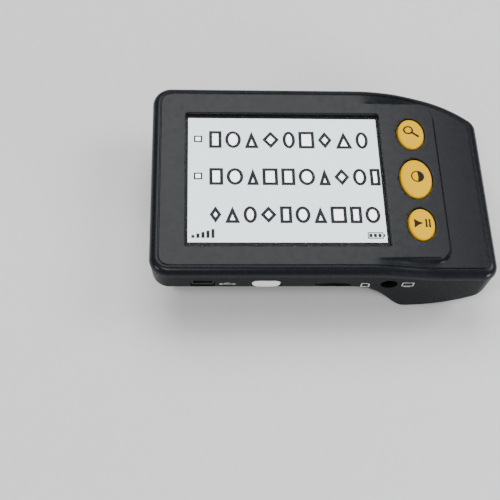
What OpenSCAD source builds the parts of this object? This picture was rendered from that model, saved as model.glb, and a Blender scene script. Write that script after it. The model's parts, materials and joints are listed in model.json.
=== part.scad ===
// Handheld video magnifier: a thin screen half, and a deep belly on the right that is the hand grip.
// Millimetres. X is to the right, Y to the back, Z up out of the screen. The part stands level on Z = 0,
// on a ring under its camera pod and two pads under the belly, with the plan's middle on the Z axis.

/* [Body] */
// Width of the body along X
body_w = 122; // [120:1:126]
// Depth of the body along Y
body_d = 78.9; // [78:0.1:84]
// Height of the front cover's face above the table
face_z = 29.6; // [29.2:0.1:30.4]
// Height of the thin half's underside
thin_z = 16.2; // [15.8:0.1:16.6]
// Radius of the left corners in plan
corner_r = 7; // [6:0.5:9]
// Radius of the long curve at the back right
shoulder_r = 50; // [46:1:54]
// Wall thickness of both covers
wall = 1.8; // [1.6:0.1:2]

/* [Face] */
// Roll of the face into the side, and depth of the front cover's skirt
rim_r = 3; // [2.5:0.1:3.2]
// How far the face falls under the grip
face_drop = 2.6; // [1.5:0.1:2.8]
// Distance of the fine groove from the edge
groove_in = 2.9; // [2.8:0.1:3.2]
// Width of the fine groove
groove_w = 0.5; // [0.3:0.1:0.7]
// How far the button panel stands over the flat face
panel_rise = 0.02; // [0.02:0.01:0.1]

/* [Belly] */
// X of the belly's lowest line
ridge_x = 31.3; // [30:0.1:32]
// Radius of the curved underside
rocker_r = 42; // [40:0.5:46]
// X where the underside starts to fall from the thin half
flank_x = 5.3; // [3:0.1:8]
// Draft of the rear cover's side
side_draft = 0.8; // [0.7:0.1:1.2]
// Roll of the side into the underside
heel_r = 2.2; // [2:0.1:3]
// Thickness of a rubber pad below the shell
pad_t = 0.4; // [0.3:0.1:0.6]

/* [Screen] */
// X of the screen's centre
screen_x = -12.7; // [-13:0.1:-12]
// Y of the screen's centre
screen_y = -0.15; // [-1:0.05:1]
// Depth of the lit surface under the face
view_depth = 1.9; // [1.7:0.1:2.1]
// Width of the display module
module_w = 76.9; // [76:0.1:78]
// Height of the display module
module_h = 63.9; // [63:0.1:64.5]
// Width of the opening over the display
opening_w = 72; // [71:0.1:72.6]
// Front and back edges of the opening
opening_y = [-28.8, 27.4];
// Size of the clear window
window_size = [76, 61];

/* [Buttons] */
// X of the three round keys
key_x = 34.7; // [34:0.1:35.5]
// Y of the three round keys, back to front
key_y = [18.3, -1, -20.1];
// Width and length of each key, back to front
key_size = [[9.6, 13], [11.3, 16.3], [9.2, 12.6]];
// Gap round a key
key_gap = 0.45; // [0.3:0.05:0.5]
// How far a key's crown stands over the panel
key_rise = 0.9; // [0.6:0.1:1.2]

/* [Front edge] */
// X of the USB socket
usb_x = -42.5; // [-44:0.5:-41]
// X of the power button
power_x = -20.35; // [-21:0.05:-20]
// X of the card slot
card_x = 3; // [2:0.1:4]
// X of the video jack
jack_x = 22.9; // [22:0.1:23.5]
// Height of the sockets' centres
port_z = 20.2; // [20:0.1:20.4]
// Radius of the video jack's bore
jack_bore_r = 1.8; // [1.75:0.01:1.85]

/* [Camera pod] */
// X of the camera
pod_x = -46; // [-46.5:0.1:-45]
// Size of the pod along X and Y
pod_size = [20, 26];
// Wall of the pod
pod_wall = 1.7; // [1.5:0.1:1.8]
// Height of the clear window's underside
pod_window_z = 6; // [5:0.5:7]

/* [Battery] */
// Size of the battery pack: across the belly's curve, along Y, and its thickness
battery_size = [22, 40, 8.5];
// Angle of the battery's bay round the centre of the curved underside
bay_angle = 22; // [21:0.5:22.5]
// X of the battery door's left edge
door_x = 33; // [32.8:0.1:33.6]
// Half width of the battery door
door_half = 22; // [21.5:0.1:22.4]
// Gap round the battery door
door_gap = 0.3; // [0.2:0.05:0.4]

/* [Hidden] */

$fn = 64;
eps = 0.02;
left_x = -body_w / 2;
right_x = body_w / 2;
back_y = body_d / 2;
front_y = -body_d / 2;
front_right_r = 5.5;
shoulder_x = 26.8;
shoulder_end_r = 6;
shoulder_end_x = right_x - shoulder_end_r;
// Direction from the long curve's centre to the small corner's centre, where the two arcs meet
shoulder_angle = acos((shoulder_end_x - shoulder_x) / (shoulder_r - shoulder_end_r));
shoulder_y = back_y - shoulder_r;
shoulder_end_y = shoulder_y + (shoulder_r - shoulder_end_r) * sin(shoulder_angle);
part_z = face_z - rim_r;
view_z = face_z - view_depth;
rocker_z = pad_t + rocker_r;
belly_depth = thin_z - pad_t;

// Stack of the display, board and keys
window_t = 0.7;
panel_t = 1.2;
light_t = 2;
tray_t = 0.3;
board_t = 1;
board_top = 23.7;
board_z = board_top - board_t;
key_board_z = 20.5;
// Underside of the button panel, and top of a key switch
key_top_z = view_z;
switch_top_z = key_board_z + board_t + 3.4;
post_r = 1.5;
chip_t = 1.3;
module_y = screen_y - 0.5;
opening_flare = 0.3;

// Distances of the jack's mouth and back from the front edge
jack_mouth = 3.25;
jack_end = 15.8;
// Hole in the front wall that a plug's sleeve enters
jack_hole_r = 2.95;
// Outside radius of the collar round the jack's bore
jack_collar_r = 2.45;

// Where the case screws and the board screws stand
case_screw_at = [[-55.8, -33], [-55.8, 33], [52, -32.5], [46, 30.5]];
board_screw_at = [[-40, 34.2], [10, 34.2], [-31.2, -34.95], [12.6, -34.95]];
key_screw_at = [[36, 31], [36, -31]];
screw_r = 1;
screw_seat_z = 18;
boss_z = 21;
// Distance of the battery's outer face from the centre of the curved underside, and the bay's wall
battery_r = 38.5;
bay_gap = 0.5;
bay_wall = 1.2;
bay_z = battery_size[2] - battery_r - 3;
// Inner radii of the battery door and of the ledge that it slides on, and its backing
ledge_r = rocker_r - wall + 0.2;
door_r = ledge_r + 0.15;
ledge_t = 1.6;
// Height of the door's end on the right side, and of the recess that it leaves
door_end_z = 12.3;
door_way_z = 16;
// Left end of the button panel, where the face is still level
panel_x = 12;

// Smooth step from 0 to 1
function ease(t) = let (c = max(0, min(1, t))) c * c * (3 - 2 * c);

// Fall of the face and of the parting line at x
function drop(x) = face_drop * ease((x - 16) / 25);

// Height of the underside at x: flat, an S-shaped flank, then the curved rocker
function floor_z(x) =
    x < ridge_x
        ? thin_z - belly_depth * ease(pow(max(0, (x - flank_x) / (ridge_x - flank_x)), 1.9))
        : rocker_z - sqrt(pow(rocker_r, 2) - pow(min(x, right_x) - ridge_x, 2));

// Back and front edges of the plan at x, drawn in by inset
function back_edge(x, inset) =
    x < left_x + corner_r
        ? back_y - corner_r + sqrt(max(0, pow(corner_r - inset, 2) - pow(left_x + corner_r - x, 2)))
    : x < shoulder_x
        ? back_y - inset
    : x < shoulder_x + (shoulder_r - inset) * cos(shoulder_angle)
        ? shoulder_y + sqrt(pow(shoulder_r - inset, 2) - pow(x - shoulder_x, 2))
    : shoulder_end_y + sqrt(max(0, pow(shoulder_end_r - inset, 2) - pow(x - shoulder_end_x, 2)));

function front_edge(x, inset) =
    x < left_x + corner_r
        ? front_y + corner_r - sqrt(max(0, pow(corner_r - inset, 2) - pow(left_x + corner_r - x, 2)))
    : x < right_x - front_right_r
        ? front_y + inset
    : front_y + front_right_r
        - sqrt(max(0, pow(front_right_r - inset, 2) - pow(x - right_x + front_right_r, 2)));

// X of each station across the plan, closer together where an edge or the underside bends
function stations(inset) = concat(
    [for (a = [0:15:90]) left_x + corner_r - (corner_r - inset) * cos(a)],
    [-20, 4],
    [for (x = [7:2.5:52]) x],
    [for (a = [1:-0.2:0]) shoulder_end_x + (shoulder_end_r - inset) * cos(shoulder_angle * a)]
);

// One ring of the loft. level 0 follows the falling face, level 1 the underside, level 2 the inner floor
function level_z(x, level, dz) =
    dz + (level == 0 ? -drop(x) : level == 1 ? floor_z(x) : floor_z(x - wall * 0.7));
function ring(inset, level, dz) = let (xs = stations(inset), n = len(xs)) concat(
    [for (i = [0:n - 1]) [xs[i], front_edge(xs[i], inset), level_z(xs[i], level, dz)]],
    [for (i = [n - 1:-1:0]) [xs[i], back_edge(xs[i], inset), level_z(xs[i], level, dz)]]
);

// Solid through a list of rings, each [inset, level, dz], from the top one down
module loft(rings) {
    n = len(stations(0));
    m = 2 * n;
    last = (len(rings) - 1) * m;
    points = [for (r = rings) each ring(r[0], r[1], r[2])];
    sides = [
        for (k = [0:len(rings) - 2], i = [0:m - 1])
            let (a = k * m + i, b = k * m + (i + 1) % m)
                each [[a, a + m, b], [b, a + m, b + m]]
    ];
    top = [for (i = [0:n - 2]) each [[i, i + 1, m - 1 - i], [i + 1, m - 2 - i, m - 1 - i]]];
    bottom = [for (f = top) [f[2] + last, f[1] + last, f[0] + last]];
    polyhedron(points, [for (f = concat(sides, top, bottom)) [f[2], f[1], f[0]]]);
}

// Box by its corners
module box(low, high) {
    translate(low) cube([for (i = [0:2]) high[i] - low[i]]);
}

// Flat plate with round corners, centred in plan, its underside at z = 0
module plate(size, radius, height) {
    linear_extrude(height) {
        square([size[0] - 2 * radius, size[1]], center = true);
        square([size[0], size[1] - 2 * radius], center = true);
        for (sx = [-1, 1], sy = [-1, 1])
            translate([sx * (size[0] / 2 - radius), sy * (size[1] / 2 - radius)]) circle(radius);
    }
}

// Plate seen from the front, lying along Y from y0 to y1
module front_plate(size, radius, y0, y1) {
    translate([0, y1, 0]) rotate([90, 0, 0]) plate(size, radius, y1 - y0);
}

// Frame: a plate with a plate-shaped hole
module frame_plate(size, hole, radius, height) {
    difference() {
        plate(size, radius, height);
        translate([0, 0, -1]) plate(hole, radius, height + 2);
    }
}

// Outer form of the rear cover
module rear_form() {
    loft(concat(
        [[0.15, 0, part_z - 0.03]],
        [for (a = [0:22.5:90]) [side_draft + heel_r * (1 - cos(a)), 1, heel_r * (1 - sin(a))]]
    ));
}

// Outer form of the front cover, its edge rolled over
module front_form() {
    loft([for (a = [90:-15:0]) [rim_r * (1 - cos(a)), 0, part_z + rim_r * sin(a)]]);
}

// Oval key shape, w along X and d along Y
module oval(w, d, h) {
    linear_extrude(h) polygon([for (a = [0:7.5:352.5]) [w / 2 * cos(a), d / 2 * sin(a)]]);
}

// Plan of the button panel: it runs out of the flat face, and its right side leans
module panel_outline() {
    hull() {
        for (y = [-32.6, 31.4]) translate([panel_x + 1, y]) circle(1, $fn = 32);
        translate([37.6, 25.9]) circle(6.5, $fn = 48);
        translate([39.5, -29]) circle(4.6, $fn = 48);
    }
}

module front_cover() {
    color("#3c4046") difference() {
        union() {
            difference() {
                front_form();
                loft([[wall, 0, view_z + window_t], [wall, 0, part_z - 1]]);
            }
            // Button panel, level where the face falls away
            translate([0, 0, part_z - 1]) linear_extrude(rim_r + 1 + panel_rise) panel_outline();
            // Screw bosses, from the face down to what each one clamps
            intersection() {
                loft([[0.5, 0, part_z + 2], [0.5, 0, 15]]);
                union() {
                    for (p = case_screw_at)
                        translate([p[0], p[1], boss_z]) cylinder(r = 2, h = 9);
                    for (p = board_screw_at)
                        translate([p[0], p[1], board_top]) cylinder(r = 1.6, h = 9);
                    for (p = key_screw_at)
                        translate([p[0], p[1], key_board_z + board_t]) cylinder(r = 2, h = 9);
                }
            }
        }
        // Pockets of the keys and of the display, under their own stretch of level face
        translate([34.9, 0, part_z - 2]) plate([14, 60], 4, key_top_z - part_z + 2);
        translate([screen_x, module_y, part_z - 4])
            plate([module_w + 1.8, module_h + 1.8], 0.8, view_z + window_t - part_z + 4);
        // Opening over the display, flared outwards
        translate([screen_x, (opening_y[0] + opening_y[1]) / 2, 0]) hull() for (k = [0, 1])
            translate([0, 0, k == 0 ? view_z : face_z + eps]) cube([
                opening_w - 2 * opening_flare * (1 - k),
                opening_y[1] - opening_y[0] - 2 * opening_flare * (1 - k),
                eps
            ], center = true);
        // Fine groove round the face
        difference() {
            loft([[groove_in, 0, face_z + 1], [groove_in, 0, face_z - 0.3]]);
            loft([[groove_in + groove_w, 0, face_z + 2], [groove_in + groove_w, 0, face_z - 1]]);
        }
        for (i = [0:2])
            translate([key_x, key_y[i], part_z - 3])
                oval(key_size[i][0] + 2 * key_gap, key_size[i][1] + 2 * key_gap, 8);
        for (p = concat(case_screw_at, key_screw_at))
            translate([p[0], p[1], boss_z - 1]) cylinder(r = screw_r + 0.05, h = 4.8);
        for (p = board_screw_at)
            translate([p[0], p[1], board_top - 1]) cylinder(r = screw_r + 0.05, h = 4.6);
    }
}

// Box less the cylinder of this radius round the centre of the curved underside
module outside_curve(low, high, radius) {
    difference() {
        box(low, high);
        translate([ridge_x, 0, rocker_z]) rotate([90, 0, 0])
            cylinder(r = radius, h = 4 * door_half, center = true, $fn = 128);
    }
}

// Everything outside the door's inner face, between its two side planes
module door_zone(half, inner_r, start_x, top_z) {
    outside_curve([start_x, -half, -5], [right_x + 5, half, top_z], inner_r);
}

// Frame of the battery's bay: -Z points out through the middle of the door
module in_bay() {
    translate([ridge_x, 0, rocker_z]) rotate([0, -bay_angle, 0]) children();
}

// Block of the battery's size grown by d on each side, from z0 to z1 in the frame of the bay
module bay_block(d, z0, z1) {
    half = battery_size / 2;
    in_bay() box([-half[0] - d, -half[1] - d, z0], [half[0] + d, half[1] + d, z1]);
}

module rear_cover() {
    pod = [pod_x, 0, pad_t];
    color("#2b2e33") difference() {
        union() {
            difference() {
                rear_form();
                loft([
                    [0.15 + wall, 0, part_z + 1],
                    [side_draft + wall, 2, wall + heel_r],
                    [side_draft + wall + heel_r / 2, 2, wall]
                ]);
            }
            translate(pod) plate(pod_size, 8, thin_z + 1 - pad_t);
            intersection() {
                rear_form();
                union() {
                    for (p = case_screw_at)
                        translate([p[0], p[1], 2]) cylinder(r = 3.2, h = boss_z - 2 - eps);
                    // Curved ledge that the door lies on, and the wall round the battery
                    outside_curve([door_x - 2, -door_half - 3, 0], [58.5, door_half + 3, 14.5],
                        ledge_r - ledge_t);
                    bay_block(bay_gap + bay_wall, -rocker_r - 2, bay_z);
                }
            }
        }
        door_zone(door_half + door_gap, ledge_r, door_x - door_gap, door_way_z);
        bay_block(bay_gap, -rocker_r - 3, bay_z + 5);
        // Pod: a wide chamber over a narrower sight opening
        translate([pod_x, 0, pod_window_z])
            plate([for (v = pod_size) v - 2 * pod_wall], 6.3, thin_z + 4 - pod_window_z);
        translate([pod_x, 0, -1])
            plate([for (v = pod_size) v - 2 * pod_wall - 2], 5.3, pod_window_z + 2);
        // Case screws from below
        for (p = case_screw_at) {
            translate([p[0], p[1], -1]) cylinder(r = 2.1, h = screw_seat_z + 1);
            translate([p[0], p[1], 0]) cylinder(r = 1.2, h = boss_z + 1);
        }
        // Front edge: USB socket, power button, card slot with its finger scoop, video jack
        translate([usb_x, 0, port_z + 0.4]) front_plate([8.3, 4.5], 0.8, front_y - 1, front_y + 6);
        translate([power_x, 0, port_z - 0.1]) front_plate([10.6, 5.3], 2.6, front_y - 1, front_y + 6);
        translate([card_x, 0, port_z - 0.6]) front_plate([12.2, 1.6], 0.4, front_y - 1, front_y + 6);
        translate([card_x, front_y + 0.7, thin_z + 0.6]) scale([6.2, 2, 4.4]) sphere(1);
        translate([jack_x, front_y + 5, port_z]) rotate([90, 0, 0]) cylinder(r = jack_hole_r, h = 7);
        // Shallow seats of the belly pads
        for (s = [-1, 1])
            translate([ridge_x + 1.2, s * 29.5, -1]) plate([4.6, 8.2], 2, 1 + pad_t + 0.8);
    }
}

module screen_window() {
    color([0.75, 0.85, 0.95, 0.35])
        translate([screen_x, module_y, view_z]) plate(window_size, 1.4, window_t);
}

module screen_gasket() {
    color("#16171a") difference() {
        translate([screen_x, module_y, view_z])
            plate([module_w + 1.4, module_h + 1.4], 0.6, window_t - eps);
        translate([screen_x, module_y, view_z - 1])
            plate([for (v = window_size) v + 0.4], 1.5, window_t + 2);
    }
}

module lcd_panel() {
    color("#dfe5ee") translate([screen_x, module_y, view_z - panel_t])
        plate([module_w, module_h], 0.5, panel_t);
}

module lcd_backlight() {
    color("#f4f4ee") translate([screen_x, module_y, view_z - panel_t - light_t])
        plate([module_w, module_h], 0.5, light_t);
}

module lcd_frame() {
    color("#b9bcc0") translate([screen_x, module_y, view_z - panel_t - light_t - tray_t]) {
        plate([module_w + 1.2, module_h + 1.2], 0.6, tray_t);
        frame_plate([module_w + 1.2, module_h + 1.2], [module_w + 0.2, module_h + 0.2], 0.5, 2.8);
    }
}

// Flat cable that leaves the display's front side and folds down to the board
module display_ribbon() {
    ribbon_y = module_y - module_h / 2 - 0.8;
    color("#c98a3a") translate([screen_x, 0, 0]) {
        box([-9, ribbon_y - 0.35, board_top + 0.02], [9, ribbon_y - 0.1, 25.6]);
        box([-9, ribbon_y - 0.35, board_top + 0.02], [9, ribbon_y + 5, board_top + 0.25]);
        box([-9, ribbon_y - 0.35, 25.35], [9, ribbon_y + 0.1, 25.6]);
    }
}

module main_board() {
    color("#1f6b45") difference() {
        translate([-15, -0.3, board_z]) plate([77, 71.8], 2, board_t);
        for (p = board_screw_at)
            translate([p[0], p[1], board_z - 1]) cylinder(r = 1.15, h = board_t + 2);
    }
}

// Square chips under the board, each [x, y, width, depth]
module chips() {
    squares = [[-20, 16, 12, 12], [-2, 20, 9, 6], [-30, -12, 7, 7], [8, -14, 10, 8], [14, 20, 6, 6]];
    color("#1b1c1f") for (c = squares)
        translate([c[0], c[1], board_z - chip_t]) plate([c[2], c[3]], 0.3, chip_t);
}

module shield_can() {
    color("#c3c6ca") translate([-10, 2, board_z - 2.2]) difference() {
        plate([22, 15], 1, 2.2);
        translate([0, 0, 0.3]) plate([21.4, 14.4], 0.7, 3);
    }
}

module usb_port() {
    color("#c9ccd0") translate([usb_x, 0, port_z + 0.4]) difference() {
        front_plate([7.7, 3.9], 0.7, front_y + 1.3, front_y + 10.3);
        front_plate([7.1, 3.3], 0.5, front_y, front_y + 9.8);
    }
}

module usb_tongue() {
    color("#1a1a1c") translate([usb_x, 0, port_z + 0.6])
        front_plate([4.6, 0.9], 0.2, front_y + 2.4, front_y + 9.8);
}

module card_slot() {
    color("#b4b8bd") difference() {
        box([card_x - 7, front_y + 4.3, port_z + 0.6], [card_x + 7, front_y + 18, board_z]);
        box([card_x - 6, front_y + 2, port_z + 0.9], [card_x + 6, front_y + 17.6, board_z - 0.3]);
    }
    color("#b4b8bd") difference() {
        box([card_x - 7, front_y + 4.3, port_z - 1.6], [card_x + 7, front_y + 18, port_z + 0.6]);
        box([card_x - 5.8, front_y + 2, port_z - 1.2], [card_x + 5.8, front_y + 17, port_z]);
    }
}

module av_jack() {
    color("#202124") difference() {
        union() {
            box([jack_x - 3.3, front_y + 4.3, port_z - 2.1], [jack_x + 3.3, front_y + jack_end, board_z]);
            translate([jack_x, front_y + 5, port_z]) rotate([90, 0, 0])
                cylinder(r = jack_collar_r, h = 5 - jack_mouth);
        }
        translate([jack_x, front_y + jack_end + 1, port_z]) rotate([90, 0, 0])
            cylinder(r = jack_bore_r, h = 14);
    }
}

module power_switch() {
    color("#2a2b2e") difference() {
        box([power_x - 3, front_y + 5.8, port_z - 1.7], [power_x + 3, front_y + 9.3, board_z]);
        translate([power_x, front_y + 7.2, port_z - 0.1]) rotate([90, 0, 0]) cylinder(r = 0.97, h = 3);
    }
}

module power_button() {
    color("#f2f2ef") translate([power_x, 0, port_z - 0.1]) {
        front_plate([10.1, 4.8], 2.38, front_y + 0.5, front_y + 4.6);
        front_plate([11.8, 3.6], 1.7, front_y + 4.5, front_y + 5.1);
        translate([0, front_y + 6.5, 0]) rotate([90, 0, 0]) cylinder(r = 0.9, h = 2);
    }
}

module key_board() {
    color("#1f6b45") difference() {
        translate([35.2, 0, key_board_z]) plate([14.6, 65.4], 1.5, board_t);
        for (p = key_screw_at) translate([p[0], p[1], key_board_z - 1]) cylinder(r = 1.15, h = board_t + 2);
    }
}

module key_switches() {
    color("#2a2b2e") for (y = key_y) translate([key_x, y, key_board_z + board_t]) difference() {
        plate([6, 6], 0.5, switch_top_z - key_board_z - board_t);
        translate([0, 0, 1.6]) cylinder(r = post_r + 0.08, h = 3);
    }
}

module key_ribbon() {
    color("#c98a3a") {
        box([22, 4, board_z - 0.25], [26.2, 12, board_z - 0.02]);
        box([25.95, 4, key_board_z + board_t + 0.02], [26.2, 12, board_z - 0.02]);
        box([25.95, 4, key_board_z + board_t + 0.02], [29.4, 12, key_board_z + board_t + 0.25]);
    }
}

// One key: a crowned cap, a flange that stops it under the panel, and a post that enters its switch
module key_cap(i) {
    w = key_size[i][0];
    d = key_size[i][1];
    crown_r = 34;
    cap_top = face_z + panel_rise + key_rise;
    flange_z = key_top_z - 1;
    color("#f6c64c") translate([key_x, key_y[i], 0]) {
        intersection() {
            translate([0, 0, flange_z + 0.8]) oval(w, d, cap_top - flange_z - 0.8);
            translate([0, 0, cap_top - crown_r]) sphere(crown_r, $fn = 96);
        }
        translate([0, 0, flange_z]) oval(w + 1.5, d + 1.5, 0.9);
        translate([0, 0, switch_top_z - 0.7]) cylinder(r = post_r, h = flange_z - switch_top_z + 0.8);
    }
}

module zoom_button() {
    key_cap(0);
}

module contrast_button() {
    key_cap(1);
}

module freeze_button() {
    key_cap(2);
}

module camera_board() {
    color("#1f6b45") translate([pod_x, 0, 16]) plate([15.6, 21.6], 5.2, board_t);
}

module camera_holder() {
    color("#202124") translate([pod_x, 0, 12.2]) difference() {
        plate([10.4, 10.4], 1, 3.8);
        translate([0, 0, -1]) cylinder(r = 4.05, h = 5);
    }
}

module lens_barrel() {
    color("#161719") translate([pod_x, 0, 8.6]) difference() {
        union() {
            cylinder(r = 4, h = 6.4);
            cylinder(r = 4.7, h = 2);
        }
        translate([0, 0, -1]) cylinder(r1 = 4, r2 = 2.7, h = 2);
        translate([0, 0, 0.9]) cylinder(r = 2.7, h = 6);
    }
}

module lens_glass() {
    color([0.45, 0.5, 0.7, 0.6]) translate([pod_x, 0, 10]) intersection() {
        cylinder(r = 2.66, h = 2.2);
        translate([0, 0, 5]) sphere(5);
    }
}

module camera_window() {
    color([0.8, 0.85, 0.9, 0.35]) translate([pod_x, 0, pod_window_z])
        plate([for (v = pod_size) v - 2 * pod_wall - 0.2], 6.2, 1);
}

module led_lamps() {
    for (s = [-1, 1]) translate([pod_x, s * 8, 14.6]) {
        color("#f4efc0") plate([5, 3], 0.4, 1.4);
        color("#fffbe0") translate([0, 0, -0.4]) plate([3.6, 2], 0.3, 0.5);
    }
}

module camera_ribbon() {
    color("#c98a3a") {
        box([pod_x + 2, -3.5, 17.02], [pod_x + 6.2, 3.5, 17.25]);
        box([pod_x + 5.97, -3.5, 17.02], [pod_x + 6.2, 3.5, board_z - 0.02]);
        box([pod_x + 5.97, -3.5, board_z - 0.25], [pod_x + 11, 3.5, board_z - 0.02]);
    }
}

module battery_pack() {
    color("#3a4a63") in_bay() translate([0, 0, -battery_r])
        plate([battery_size[0], battery_size[1]], 1.2, battery_size[2]);
}

// Block on the bay's left wall, with three springs that meet the battery's end
module battery_contacts() {
    end_x = -battery_size[0] / 2;
    in_bay() {
        color("#222326") box([end_x - 2.4, -9, bay_z + eps], [end_x - 0.4, 9, bay_z + 3.4]);
        color("#d9b24a") for (y = [-5, 0, 5])
            box([end_x - 0.4, y - 0.8, bay_z + 0.5], [end_x - eps, y + 0.8, bay_z + 2.6]);
    }
}

module battery_door() {
    color("#2b2e33") difference() {
        intersection() {
            rear_form();
            door_zone(door_half, door_r, door_x, door_end_z);
        }
        // Finger ridges
        for (i = [0:4])
            translate([ridge_x, 0, rocker_z]) rotate([0, -24 - 2.4 * i, 0])
                translate([0, 0, -rocker_r - 0.2])
                    rotate([90, 0, 0]) cylinder(r = 0.5, h = 16, center = true);
    }
}

module case_screws() {
    color("#8d9196") for (p = case_screw_at) translate([p[0], p[1], screw_seat_z - 1.2]) difference() {
        union() {
            cylinder(r = 1.9, h = 1.2);
            cylinder(r = screw_r, h = 7.4);
        }
        for (a = [0, 90]) rotate(a) cube([2.2, 0.5, 1], center = true);
    }
}

// Small pan-head screw, head down, its seat at z
module board_screw(p, z) {
    translate([p[0], p[1], z - 1]) difference() {
        union() {
            cylinder(r = 1.55, h = 1);
            cylinder(r = screw_r, h = 1 + board_t + 2.6);
        }
        for (a = [0, 90]) rotate(a) cube([2, 0.5, 0.9], center = true);
    }
}

module board_screws() {
    color("#8d9196") {
        for (p = board_screw_at) board_screw(p, board_z);
        for (p = key_screw_at) board_screw(p, key_board_z);
    }
}

module pod_ring() {
    color("#1a1b1d") translate([pod_x, 0, 0])
        frame_plate([for (v = pod_size) v - 0.8], [for (v = pod_size) v - 2 * pod_wall - 1.6], 5.6, pad_t);
}

module belly_pads() {
    color("#1a1b1d") for (s = [-1, 1])
        translate([ridge_x + 1.2, s * 29.5, 0]) plate([4.4, 8], 1.9, pad_t + 0.8);
}

front_cover();
rear_cover();
screen_window();
screen_gasket();
lcd_panel();
lcd_backlight();
lcd_frame();
display_ribbon();
main_board();
chips();
shield_can();
usb_port();
usb_tongue();
card_slot();
av_jack();
power_switch();
power_button();
key_board();
key_switches();
key_ribbon();
zoom_button();
contrast_button();
freeze_button();
camera_board();
camera_holder();
lens_barrel();
lens_glass();
camera_window();
led_lamps();
camera_ribbon();
battery_pack();
battery_contacts();
battery_door();
case_screws();
board_screws();
pod_ring();
belly_pads();
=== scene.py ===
"""Handheld video magnifier: detailed covers, keys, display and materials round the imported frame."""
import json
import math

import bmesh
import bpy
import numpy as np
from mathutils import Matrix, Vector
from mathutils.geometry import convex_hull_2d, delaunay_2d_cdt


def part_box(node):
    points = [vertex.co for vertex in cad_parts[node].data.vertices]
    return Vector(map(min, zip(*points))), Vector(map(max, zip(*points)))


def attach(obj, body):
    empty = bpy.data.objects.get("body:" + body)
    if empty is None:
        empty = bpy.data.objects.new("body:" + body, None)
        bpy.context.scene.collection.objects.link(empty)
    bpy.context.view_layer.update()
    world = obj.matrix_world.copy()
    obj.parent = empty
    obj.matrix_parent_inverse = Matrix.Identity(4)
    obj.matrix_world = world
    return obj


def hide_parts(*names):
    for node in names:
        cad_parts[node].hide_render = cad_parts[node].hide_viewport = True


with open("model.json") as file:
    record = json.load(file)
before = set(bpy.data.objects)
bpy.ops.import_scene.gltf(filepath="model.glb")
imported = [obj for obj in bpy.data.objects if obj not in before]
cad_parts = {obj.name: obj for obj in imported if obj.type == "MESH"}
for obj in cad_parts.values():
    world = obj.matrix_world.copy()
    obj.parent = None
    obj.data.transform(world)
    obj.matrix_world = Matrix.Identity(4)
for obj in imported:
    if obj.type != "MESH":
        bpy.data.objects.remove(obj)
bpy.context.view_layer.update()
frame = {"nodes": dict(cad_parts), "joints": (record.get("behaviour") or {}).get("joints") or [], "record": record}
MM = 0.001

# ---------------------------------------------------------------- sizes, in millimetres


def box_mm(node):
    """Lowest and highest corner of a CAD node."""
    low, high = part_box(node)
    return np.array(low) / MM, np.array(high) / MM


def middle_mm(node):
    low, high = box_mm(node)
    return (low + high) / 2


def joint_named(name):
    return next(j for j in frame["joints"] if j["name"] == name)


def mount_named(name):
    return next(m for m in frame["record"]["mounts"] if m["name"] == name)


BODY_LOW, BODY_HIGH = box_mm("front_cover")
LEFT, FRONT = BODY_LOW[:2]
RIGHT, BACK = BODY_HIGH[:2]
PANEL_RISE = 0.02
FACE = BODY_HIGH[2] - PANEL_RISE
RIM_R = 3.0
PARTING = FACE - RIM_R
CORNER_R = 7.0
FRONT_RIGHT_R = 5.5
SHOULDER_R = 50.0
SHOULDER_X = 26.8
SHOULDER_END_R = 6.0
WALL = 1.8
LIP_GAP = 0.03
DRAFT_TOP = 0.15
DRAFT = 0.8
HEEL_R = 2.2
FACE_DROP = 2.6
THIN = 16.2
FLANK_X = 5.3
PAD_T = box_mm("rear_cover")[0][2]
RIDGE_X = joint_named("battery_door_slide")["pos_m"][0] / MM
ROCKER_Z = joint_named("battery_door_slide")["pos_m"][2] / MM
ROCKER_R = ROCKER_Z - PAD_T
STEP = 1.2


def ease(t):
    """Smooth step from 0 to 1."""
    c = np.clip(t, 0.0, 1.0)
    return c * c * (3 - 2 * c)


def drop(x):
    """Fall of the face and of the parting line towards the grip."""
    return FACE_DROP * ease((x - 16) / 25)


def floor_z(x):
    """Height of the underside: flat, an S-shaped flank, then the curved rocker."""
    flank = np.clip((x - FLANK_X) / (RIDGE_X - FLANK_X), 0, 1) ** 1.9
    past = np.clip(np.minimum(x, RIGHT) - RIDGE_X, 0, None)
    return np.where(
        x < RIDGE_X,
        THIN - (THIN - PAD_T) * ease(flank),
        ROCKER_Z - np.sqrt(ROCKER_R**2 - past**2),
    )


# ---------------------------------------------------------------- outlines: rows of x, y, normal x, normal y


def arc(cx, cy, radius, start, end, step=STEP):
    """Arc from start to end in degrees, without its last point."""
    turn = math.radians(end - start)
    count = max(math.ceil(abs(radius * turn) / step), math.ceil(abs(turn) / math.radians(6)))
    angles = math.radians(start) + turn * np.arange(count) / count
    c, s = np.cos(angles), np.sin(angles)
    return np.stack([cx + radius * c, cy + radius * s, c, s], 1)


def side(start, end, step=STEP):
    """Straight side between two points, without its last point, the outside on its right."""
    start, end = np.array(start, float), np.array(end, float)
    length = np.linalg.norm(end - start)
    count = max(1, math.ceil(length / step))
    along = (end - start) / length
    points = start + (end - start) * (np.arange(count) / count)[:, None]
    return np.hstack([points, np.tile([along[1], -along[0]], (count, 1))])


def grow(outline, distance):
    """An outline's points moved outwards."""
    return outline[:, :2] + outline[:, 2:] * np.reshape(distance, (-1, 1))


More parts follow.
